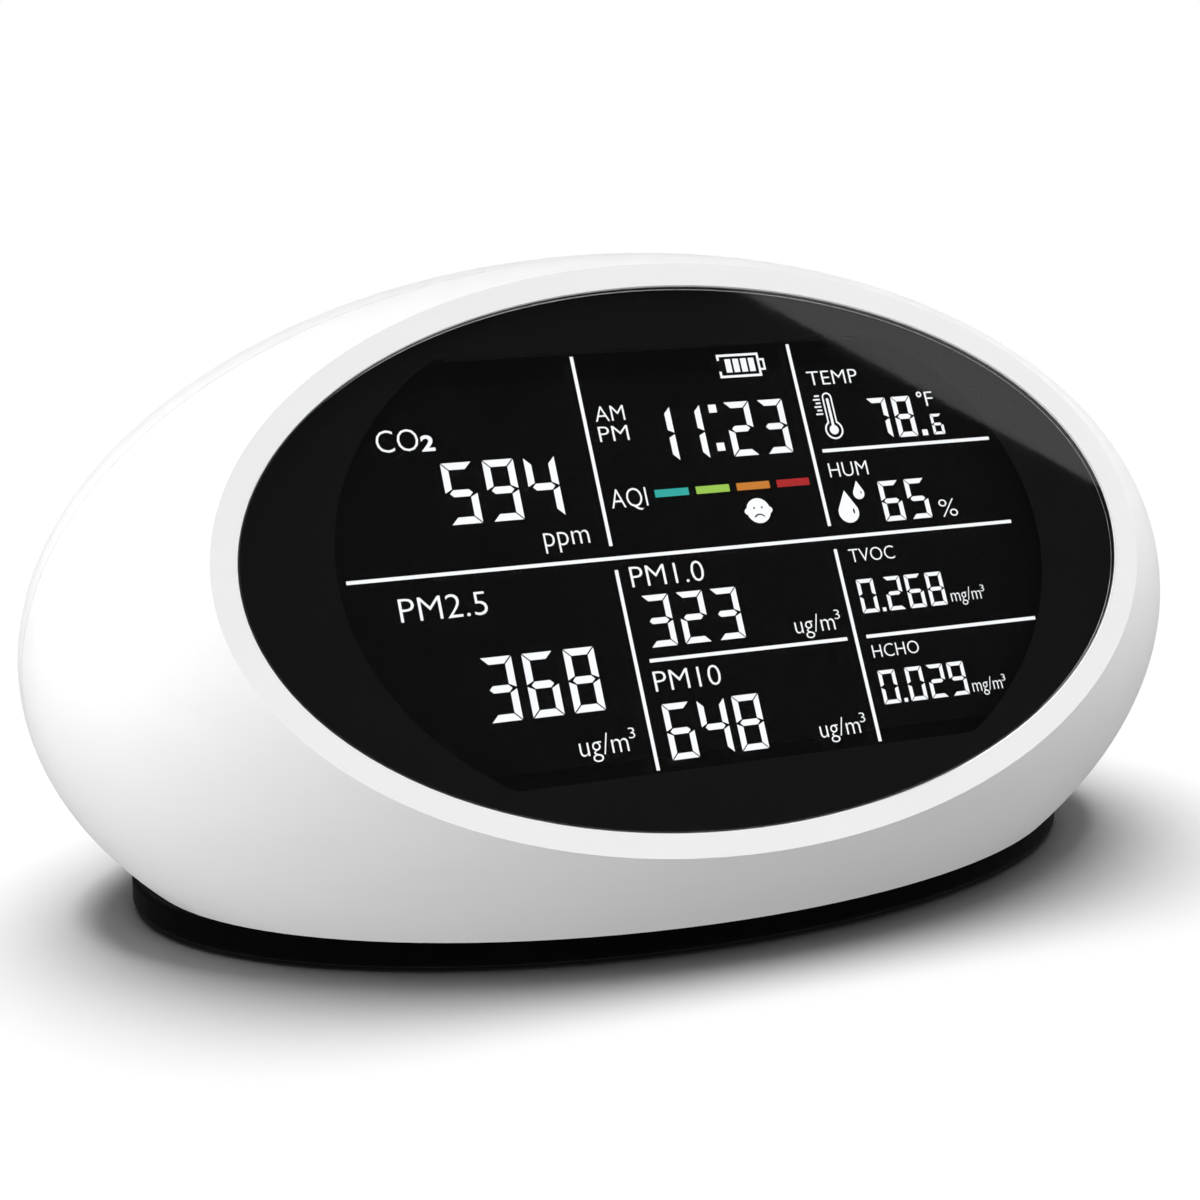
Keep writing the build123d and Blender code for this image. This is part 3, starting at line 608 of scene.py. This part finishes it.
def number(sheet, figures, x0, x1, base, height, thick, gap=1.4):
    """A row of figures and decimal points that fills the space from x0 to x1."""
    dots = figures.count(".")
    count = len(figures) - dots
    dot_room = thick + 0.35
    width = (x1 - x0 - gap * (count - 1) - dots * dot_room) / count
    x = x0
    for figure in figures:
        if figure == ".":
            x += dot_room
            left = x - (gap + dot_room + thick) / 2
            sheet.bar(left, base, left + thick, base + thick)
        else:
            digit(sheet, figure, x, base, width, height, thick)
            x += width + gap


figures = Sheet(layout)
number(figures, "594", -36.6, -20.0, 6.4, 8.8, 1.0, 1.5)
number(figures, "368", -36.4, -20.0, -21.2, 8.9, 1.0, 1.5)
number(figures, "11", -4.6, 3.6, 13.0, 8.2, 0.92, 1.2)
number(figures, "23", 7.4, 16.8, 13.0, 8.2, 0.92, 1.4)
number(figures, "323", -11.5, 2.9, -13.4, 7.4, 0.85, 1.2)
number(figures, "648", -11.9, 2.7, -29.2, 7.8, 0.85, 1.2)
number(figures, "78", 30.5, 37.8, 14.0, 6.3, 0.75, 1.0)
number(figures, "6", 40.5, 42.4, 14.0, 3.2, 0.42)
number(figures, "65", 29.1, 36.8, 1.4, 6.1, 0.72, 1.0)
number(figures, "0.268", 21.9, 35.8, -11.8, 5.0, 0.55, 0.75)
number(figures, "0.029", 21.9, 35.8, -25.2, 4.9, 0.55, 0.75)
figures.bar(38.6, 14.0, 39.5, 14.9)
for colon_height in (14.0, 19.8):
    figures.bar(5.0, colon_height, 6.2, colon_height + 1.2)
figures.piece("lcd_figures", lit_white, "housing", "lcd_glass")

rules = Sheet(layout)
RULE = 0.5
for x in (-14.3, 19.8):
    rules.bar(x - RULE / 2, 1.5, x + RULE / 2, 29.5)
    rules.bar(x - RULE / 2, -30.3, x + RULE / 2, -2.0)
for x0, x1, y in (
    (-52.6, 49.7, -0.3), (21.5, 49.5, 12.8), (21.5, 49.6, -15.2), (-12.2, 18.4, -15.2)
):
    rules.bar(x0, y - RULE / 2, x1, y + RULE / 2)
rules.piece("lcd_rules", lit_white, "housing", "lcd_glass")

legends = Sheet(layout)
FINE = -0.012
for words, x0, x1, base, height in (
    ("CO", -45.0, -39.0, 17.3, 3.2),
    ("PM2.5", -46.1, -33.8, -6.4, 3.3),
    ("AM", -12.6, -8.1, 19.6, 2.3),
    ("PM", -12.6, -8.1, 16.6, 2.3),
    ("AQI", -12.9, -7.4, 6.8, 2.8),
    ("PM1.0", -12.4, -1.3, -4.7, 3.0),
    ("PM10", -12.2, -2.2, -19.6, 2.9),
    ("TEMP", 21.8, 30.0, 22.9, 2.2),
    ("HUM", 21.8, 28.1, 8.7, 2.2),
    ("TVOC", 21.8, 29.1, -4.2, 2.0),
    ("HCHO", 21.9, 29.4, -18.4, 1.9),
    ("F", 40.4, 41.7, 18.5, 2.3),
    ("%", 38.3, 41.2, 1.3, 2.7),
):
    legends.text(words, x0, x1, base, height, FINE)
legends.text("2", -38.7, -36.8, 17.2, 2.1, 0.03)
for words, x0, x1, base, height in (
    ("ppm", -23.9, -17.2, 2.2, 3.0),
    ("ug/m", -24.9, -17.8, -27.2, 2.9),
    ("ug/m", 10.7, 17.0, -13.7, 2.6),
    ("ug/m", 10.9, 17.2, -28.8, 2.6),
    ("mg/m", 36.6, 41.6, -11.5, 2.0),
    ("mg/m", 36.5, 41.4, -25.0, 2.0),
):
    legends.text(words, x0, x1, base, height, FINE)
for x, base, height in (
    (-17.5, -25.5, 1.5), (17.2, -12.2, 1.4), (17.4, -27.3, 1.4),
    (41.7, -10.4, 1.0), (41.5, -23.9, 1.0),
):
    legends.text("3", x, x + 0.62 * height, base, height, FINE)
degree_ring, degree_hole = (oval(r, r, steps=24, shift=(39.5, 20.4)) for r in (0.45, 0.22))
legends.plate(degree_ring, holes=[degree_hole])
legends.piece("lcd_legends", lit_white, "housing", "lcd_glass")

# ---------------------------------------------------------------- icons


def drop(across, base, radius, height, steps=28):
    """Outline of a water drop that hangs from a point."""
    points = []
    lean = 0.62 * pi
    for step in range(steps + 1):
        turn = -pi / 2 - lean + 2 * lean * step / steps
        points.append((across + radius * cos(turn), base + radius + radius * sin(turn)))
    return points + [(across, base + height)]


icons = Sheet(layout)
# Battery: a case open at its left end, a hollow terminal and four charge bars.
icons.plate([
    (8.0, 28.5), (14.7, 28.5), (14.7, 24.9), (8.0, 24.9), (8.0, 25.9), (8.35, 25.9), (8.35, 25.25),
    (14.35, 25.25), (14.35, 28.15), (8.35, 28.15), (8.35, 27.6), (8.0, 27.6),
])
icons.plate([
    (14.75, 25.8), (15.5, 25.8), (15.5, 27.6), (14.75, 27.6),
    (14.75, 27.3), (15.2, 27.3), (15.2, 26.1), (14.75, 26.1),
])
for step in range(4):
    icons.bar(9.2 + 1.25 * step, 25.7, 10.1 + 1.25 * step, 27.75)


def thermometer(across, foot, top, tube, bulb):
    """Outline of a tube with a round top that widens into a bulb."""
    neck = foot + sqrt(bulb ** 2 - tube ** 2)
    spread = atan2(neck - foot, tube)
    cap = [(across + tube * cos(pi * s / 12), top + tube * sin(pi * s / 12)) for s in range(13)]
    turns = (pi - spread + (pi + 2 * spread) * s / 30 for s in range(31))
    return cap + [(across + bulb * cos(turn), foot + bulb * sin(turn)) for turn in turns]


# Thermometer: outlined tube and bulb, the column inside and the scale beside it.
icons.plate(
    thermometer(24.2, 15.9, 20.9, 0.78, 1.45), holes=[thermometer(24.2, 15.9, 20.9, 0.56, 1.2)]
)
icons.plate(thermometer(24.2, 15.9, 20.6, 0.2, 0.72))
for step in range(6):
    icons.bar(21.9 if step % 2 == 0 else 22.2, 18.3 + 0.56 * step, 23.0, 18.54 + 0.56 * step)

# Two drops, each with a glint.
icons.plate(drop(23.4, 1.7, 1.62, 4.9), holes=[oval(0.16, 0.42, steps=16, shift=(24.25, 3.4))])
icons.plate(drop(25.7, 5.1, 0.9, 2.8), holes=[oval(0.1, 0.24, steps=12, shift=(26.1, 6.1))])

# A frowning face with small ears.
FACE = (9.2, 4.7)
face_outline = []
for step in range(96):
    turn = 2 * pi * step / 96
    ear = max(0.0, 1 - abs(abs(abs(turn - pi) - pi / 2) - pi / 2) / 0.26)
    reach = 1.85 + 0.36 * sqrt(ear)
    face_outline.append((FACE[0] + reach * cos(turn), FACE[1] + reach * sin(turn)))
mouth = [
    (FACE[0] + radius * cos(turn), FACE[1] - 1.5 + radius * sin(turn))
    for radius, turns in ((1.05, range(35, 146, 10)), (0.84, range(145, 34, -10)))
    for turn in (radians(t) for t in turns)
]
eyes = [
    oval(0.15, 0.17, steps=16, shift=(FACE[0] + side * 0.62, FACE[1] + 0.45)) for side in (-1, 1)
]
icons.plate(face_outline, holes=[mouth, *eyes])
icons.piece("lcd_icons", lit_white, "housing", "lcd_glass")

BAR_COLOURS = {
    "teal": (0.017, 0.46, 0.405), "green": (0.37, 0.665, 0.075),
    "orange": (0.67, 0.225, 0.014), "red": (0.45, 0.001, 0.001),
}
SCALE_LEFT = -6.1
SCALE_PITCH = 6.37
for step, (name, colour) in enumerate(BAR_COLOURS.items()):
    scale_bar = Sheet(layout)
    left = SCALE_LEFT + SCALE_PITCH * step
    scale_bar.bar(left, 7.9, left + 5.2, 9.0)
    lit = glow("lit_" + name, colour, 1.25).material
    scale_bar.piece("lcd_scale_" + name, lit, "housing", "lcd_glass")

# ---------------------------------------------------------------- marks on the buttons

BUTTON_TILT = radians(35)
BUTTON_UP = Vector((0, -sin(BUTTON_TILT), cos(BUTTON_TILT)))
BUTTON_OUT = Vector((0, cos(BUTTON_TILT), sin(BUTTON_TILT)))


def button_sheet(node):
    """A sheet on the crown of a button, seen from behind."""
    low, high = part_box(node)
    corners = [v.co for v in nodes[node].data.vertices]
    crown = max(corner.dot(BUTTON_OUT) for corner in corners)
    middle_up = sum(corner.dot(BUTTON_UP) for corner in corners) / len(corners)
    centre = (low + high) / 2
    centre += BUTTON_OUT * (crown - centre.dot(BUTTON_OUT))
    centre += BUTTON_UP * (middle_up - centre.dot(BUTTON_UP))
    return Sheet(plane_matrix(centre, -RIGHT, BUTTON_UP))


mark_ink = moulded("mark_ink", (0.16, 0.16, 0.17), 0.5, 0.2, 0.003, 0.1).material
HALF_SUNK = (-SHEET_THICKNESS / 2, SHEET_THICKNESS / 2)


def power_mark(sheet):
    arc = [
        (radius * sin(turn), radius * cos(turn))
        for radius, turns in ((1.7, range(40, 321, 10)), (1.3, range(320, 39, -10)))
        for turn in (radians(t) for t in turns)
    ]
    sheet.plate(arc, *HALF_SUNK)
    sheet.bar(-0.2, 0.4, 0.2, 2.1, *HALF_SUNK)


def set_mark(sheet):
    for y in (-1.0, 0.0, 1.0):
        sheet.bar(-1.4, y - 0.18, 1.4, y + 0.18, *HALF_SUNK)


def up_mark(sheet):
    sheet.plate([(-1.4, -0.9), (1.4, -0.9), (0, 1.3)], *HALF_SUNK)


def down_mark(sheet):
    sheet.plate([(-1.4, 0.9), (0, -1.3), (1.4, 0.9)], *HALF_SUNK)


MARKS = {"power": power_mark, "set": set_mark, "up": up_mark, "down": down_mark}
for key, draw in MARKS.items():
    printed = button_sheet(key + "_button")
    draw(printed)
    printed.piece(key + "_mark", mark_ink, key + "_key", "button_white")

# ---------------------------------------------------------------- floor and reflections


def staged_card(name, corners, material):
    """A flat card that shows only as a reflection in the object."""
    data = bpy.data.meshes.new(name)
    data.from_pydata([tuple(c) for c in corners], [], [range(len(corners))])
    data.materials.append(material)
    made = bpy.data.objects.new(name, data)
    scene.collection.objects.link(made)
    made.visible_camera = False
    made.visible_diffuse = False
    made.visible_shadow = False
    made.visible_transmission = False
    return made


def lamp_material(name, strength):
    made = bpy.data.materials.new(name)
    made.use_nodes = True
    tree = made.node_tree
    tree.nodes.clear()
    emission = tree.nodes.new("ShaderNodeEmission")
    emission.inputs["Strength"].default_value = strength
    out = tree.nodes.new("ShaderNodeOutputMaterial")
    tree.links.new(emission.outputs[0], out.inputs["Surface"])
    return made


FLOOR_HALF = 6.0
floor_data = bpy.data.meshes.new("floor")
floor_corners = [
    (x * FLOOR_HALF, y * FLOOR_HALF, 0) for x, y in ((-1, -1), (1, -1), (1, 1), (-1, 1))
]
floor_data.from_pydata(floor_corners, [], [range(4)])
floor_shader = Shader("floor_pale", (0.6, 0.6, 0.6), 0.9)
floor_shader.set("Specular IOR Level", 0.0)
floor_data.materials.append(floor_shader.material)
floor = bpy.data.objects.new("floor", floor_data)
scene.collection.objects.link(floor)
floor.visible_glossy = False
floor.visible_diffuse = False

# The bright reflection in the lens's upper right corner ends at a straight edge.
lens_front = front_of("display_lens")
mirrored = camera_place - 2 * (camera_place - lens_front).dot(FACE_OUT) * FACE_OUT
CARD_REACH = 3.2
EDGE_LEFT = (-10, 54.3)
EDGE_RIGHT = (91, -12.5)


def through(point):
    """Where the mirrored sight line through a point of the lens meets the card."""
    place = lens_plane @ Vector((*point, 0))
    return mirrored + (place - mirrored) * CARD_REACH


CARD_DEPTH = 60             # from the bright card's edge, to the right and upward
DARK_ACROSS = 160
DARK_UP = 130
DARK_BEHIND = 0.05          # metres from the bright card to the dark one

far_left, far_right = (
    (across + CARD_DEPTH, up + CARD_DEPTH) for across, up in (EDGE_LEFT, EDGE_RIGHT)
)
bright_corners = [through(point) for point in (EDGE_LEFT, EDGE_RIGHT, far_right, far_left)]
staged_card("bright_card", bright_corners, lamp_material("bright_card", 1.25))
dark_corners = [
    through((x * DARK_ACROSS, y * DARK_UP)) for x, y in ((-1, 1), (-1, -1), (1, -1), (1, 1))
]
dark_card = staged_card("dark_card", dark_corners, lamp_material("dark_card", 0.06))
dark_card.location += (lens_front - mirrored).normalized() * DARK_BEHIND

# ---------------------------------------------------------------- light

world = bpy.data.worlds.new("studio")
scene.world = world
world.use_nodes = True
tree = world.node_tree
tree.nodes.clear()
path = tree.nodes.new("ShaderNodeLightPath")
out = tree.nodes.new("ShaderNodeOutputWorld")


def world_mix(factor, first, second):
    made = tree.nodes.new("ShaderNodeMixShader")
    tree.links.new(factor, made.inputs[0])
    tree.links.new(first, made.inputs[1])
    tree.links.new(second, made.inputs[2])
    return made.outputs[0]


def world_light(strength):
    made = tree.nodes.new("ShaderNodeBackground")
    made.inputs["Color"].default_value = (1, 1, 1, 1)
    made.inputs["Strength"].default_value = strength
    return made.outputs[0]


# How bright the surroundings are to the camera, to mirror-like surfaces, through the
# lens, and as light on everything.
SEEN = 1.0
MIRRORED = 0.24
INSIDE_LENS = 0.01
AMBIENT = 0.05

light = world_mix(path.outputs["Is Glossy Ray"], world_light(AMBIENT), world_light(MIRRORED))
light = world_mix(path.outputs["Is Transmission Ray"], light, world_light(INSIDE_LENS))
light = world_mix(path.outputs["Is Camera Ray"], light, world_light(SEEN))
tree.links.new(light, out.inputs["Surface"])


def gather(name, objects):
    made = bpy.data.collections.new(name)
    for member in objects:
        made.objects.link(member)
    return made


def tilted(towards):
    """Turn that makes a lamp shine from a direction."""
    return (-Vector(towards).normalized()).to_track_quat("-Z", "Y")


# A plate under the housing's bulge, which only the floor's light meets, deepens the
# contact shadow.
SHADE_HEIGHT = 12.0
SHADE_THICKNESS = 0.2
shade = Sheet(Matrix.Scale(MM, 4))
shade.plate(oval(86, 50, shift=(0, 2)), SHADE_HEIGHT, SHADE_HEIGHT + SHADE_THICKNESS)
shade_data = bpy.data.meshes.new("shade_plate")
shade.mesh.transform(shade.matrix)
shade.mesh.to_mesh(shade_data)
shade.mesh.free()
shade_data.materials.append(floor_shader.material)
shade_plate = bpy.data.objects.new("shade_plate", shade_data)
scene.collection.objects.link(shade_plate)
shade_plate.visible_camera = False
shade_plate.visible_diffuse = False
shade_plate.visible_glossy = False
shade_plate.visible_transmission = False

shown = [
    made for made in scene.objects
    if made.type == "MESH" and made not in (floor, shade_plate)
]
object_only = gather("object_only", shown)
floor_only = gather("floor_only", [floor])
shade_casters = gather("shade_casters", shown + [shade_plate])

LAMP_WIDTH = 1.6
LAMP_DISTANCE = 1.5
OVERHEAD_SPREAD = radians(56)


def fill_light(name, direction, brightness):
    """A soft light on the object alone; brightness is what white shows when it faces it."""
    data = bpy.data.lights.new(name, "AREA")
    data.shape = "DISK"
    data.size = LAMP_WIDTH
    data.energy = brightness * pi ** 2 * LAMP_DISTANCE ** 2
    made = bpy.data.objects.new(name, data)
    towards = Vector(direction).normalized()
    made.location = body_centre + towards * LAMP_DISTANCE
    made.rotation_mode = "QUATERNION"
    made.rotation_quaternion = tilted(towards)
    made.visible_glossy = False
    scene.collection.objects.link(made)
    made.light_linking.receiver_collection = object_only
    made.light_linking.blocker_collection = object_only


def overhead_light(name, towards, strength, receivers, blockers):
    """A wide overhead light with no falloff."""
    data = bpy.data.lights.new(name, "SUN")
    data.energy = strength
    data.angle = OVERHEAD_SPREAD
    made = bpy.data.objects.new(name, data)
    made.rotation_mode = "QUATERNION"
    made.rotation_quaternion = tilted(towards)
    made.visible_glossy = False
    scene.collection.objects.link(made)
    made.light_linking.receiver_collection = receivers
    made.light_linking.blocker_collection = blockers


overhead_light("overhead", (0, 0, 1), 2.25, object_only, object_only)
overhead_light("floor_light", (0, 0.18, 1), 5.2, floor_only, shade_casters)
fill_light("left_fill", (-1, 0.1, 0.12), 1.0)
fill_light("front_fill", (-0.2, -1, 0.05), 0.5)
fill_light("right_fill", (1, 0.05, 0.3), 0.85)
fill_light("low_fill", (0, -0.6, -1), 0.06)
fill_light("rear_fill", (0.3, 1, 0.1), 0.12)
